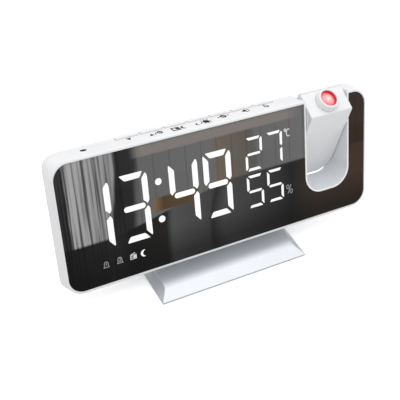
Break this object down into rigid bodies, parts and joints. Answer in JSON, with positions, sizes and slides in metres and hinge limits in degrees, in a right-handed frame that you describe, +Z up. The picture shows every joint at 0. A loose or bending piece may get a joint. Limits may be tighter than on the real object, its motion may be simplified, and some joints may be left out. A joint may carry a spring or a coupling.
{
  "type": "projection alarm clock",
  "caption": "Mirror-faced digital alarm clock on a leaning metal stand, with a tilting projector arm set in a slot at its right-hand end.",
  "frame": {"origin": "centre of the resting face, on the underside of the stand's anti-slip pad", "axes": "+X to the right as seen from the front, +Y from the mirror to the back, +Z up"},
  "size_m": [0.186, 0.055, 0.0826],
  "materials": {
    "white_shell": "semi-gloss white moulded ABS, fine even skin",
    "silver_satin": "satin silver-grey paint",
    "mirror_glass": "one-way mirror, half-silvered over dark glass",
    "pad_rubber": "matt non-slip rubber",
    "screw_steel": "zinc-plated steel",
    "bright_metal": "nickel-plated sheet",
    "spring_brass": "spring bronze",
    "white_inner": "white diffusing plastic",
    "ivory_plastic": "ivory nylon",
    "black_plastic": "matt black plastic",
    "smoked_plastic": "dark smoked plastic",
    "circuit_board": "green solder mask",
    "white_light": "white light-emitting diode",
    "red_light": "red light-emitting diode",
    "lens_glass": "clear acrylic lens, lit red from below"
  },
  "bodies": {
    "clock": {"stand": "silver_satin", "anti_slip_pad": "pad_rubber", "stand_screws": "screw_steel", "rear_housing": "white_shell", "front_frame": "white_shell", "mirror_panel": "mirror_glass", "projector_bay": "white_shell", "diffuser_film": "white_inner", "segment_mask": "black_plastic", "reflector_block": "white_inner", "display_board": "circuit_board", "segment_leds": "white_light", "main_board": "circuit_board", "board_components": "black_plastic", "board_connector": "ivory_plastic", "key_board": "circuit_board", "key_switches": "black_plastic", "light_sensor_window": "smoked_plastic", "light_sensor": "bright_metal", "speaker": "black_plastic", "backup_cell": "bright_metal", "cell_contacts": "spring_brass", "dc_jack": "black_plastic", "usb_port": "bright_metal", "climate_sensor": "circuit_board", "board_screws": "screw_steel", "housing_screws": "screw_steel", "hinge_pins": "screw_steel"},
    "projector_arm": {"arm_housing": "white_shell", "arm_back_cover": "white_shell", "arm_screws": "screw_steel", "friction_washers": "spring_brass", "projection_lcd": "smoked_plastic", "projection_led": "red_light", "projector_board": "circuit_board", "projector_screws": "screw_steel"},
    "focus_collar": {"focus_ring": "white_shell"},
    "lens_tube": {"lens_barrel": "black_plastic", "projection_lens": "lens_glass"},
    "cell_door": {"battery_door": "white_shell"},
    "back_key": {"back_key": "white_shell"},
    "up_key": {"up_key": "white_shell"},
    "radio_key": {"radio_key": "white_shell"},
    "snooze_key": {"snooze_key": "white_shell"},
    "set_key": {"set_key": "white_shell"},
    "volume_key": {"volume_key": "white_shell"},
    "alarm_key": {"alarm_key": "white_shell"}
  },
  "joints": [
    {"name": "projector_tilt", "type": "hinge", "parent": "clock", "child": "projector_arm", "pos_m": [0.0654, 0.01577, 0.06145], "axis": [1, 0, 0], "range_deg": [-118, 61]},
    {"name": "focus_turn", "type": "hinge", "parent": "projector_arm", "child": "focus_collar", "pos_m": [0.0654, 0.0121, 0.07698], "axis": [0, -0.4115, 0.9114], "range_deg": [-150, 150]},
    {"name": "focus_slide", "type": "slide", "parent": "projector_arm", "child": "lens_tube", "axis": [0, -0.4115, 0.9114], "range_m": [-0.00075, 0.00075]},
    {"name": "cell_door_turn", "type": "hinge", "parent": "clock", "child": "cell_door", "pos_m": [0.008, 0.02415, 0.0492], "axis": [0, 0.9205, -0.3907], "range_deg": [0, 45]},
    {"name": "back_key_press", "type": "slide", "parent": "clock", "child": "back_key", "axis": [0, -0.3907, -0.9205], "range_m": [0, 0.0008], "stiffness_N_per_m": 400, "springref_m": -0.0006},
    {"name": "up_key_press", "type": "slide", "parent": "clock", "child": "up_key", "axis": [0, -0.3907, -0.9205], "range_m": [0, 0.0008], "stiffness_N_per_m": 400, "springref_m": -0.0006},
    {"name": "radio_key_press", "type": "slide", "parent": "clock", "child": "radio_key", "axis": [0, -0.3907, -0.9205], "range_m": [0, 0.0008], "stiffness_N_per_m": 400, "springref_m": -0.0006},
    {"name": "snooze_key_press", "type": "slide", "parent": "clock", "child": "snooze_key", "axis": [0, -0.3907, -0.9205], "range_m": [0, 0.0008], "stiffness_N_per_m": 400, "springref_m": -0.0006},
    {"name": "set_key_press", "type": "slide", "parent": "clock", "child": "set_key", "axis": [0, -0.3907, -0.9205], "range_m": [0, 0.0008], "stiffness_N_per_m": 400, "springref_m": -0.0006},
    {"name": "volume_key_press", "type": "slide", "parent": "clock", "child": "volume_key", "axis": [0, -0.3907, -0.9205], "range_m": [0, 0.0008], "stiffness_N_per_m": 400, "springref_m": -0.0006},
    {"name": "alarm_key_press", "type": "slide", "parent": "clock", "child": "alarm_key", "axis": [0, -0.3907, -0.9205], "range_m": [0, 0.0008], "stiffness_N_per_m": 400, "springref_m": -0.0006}
  ],
  "couplings": [
    {"joint": "focus_turn", "follows": "focus_slide", "rad_per_m": 3490}
  ]
}
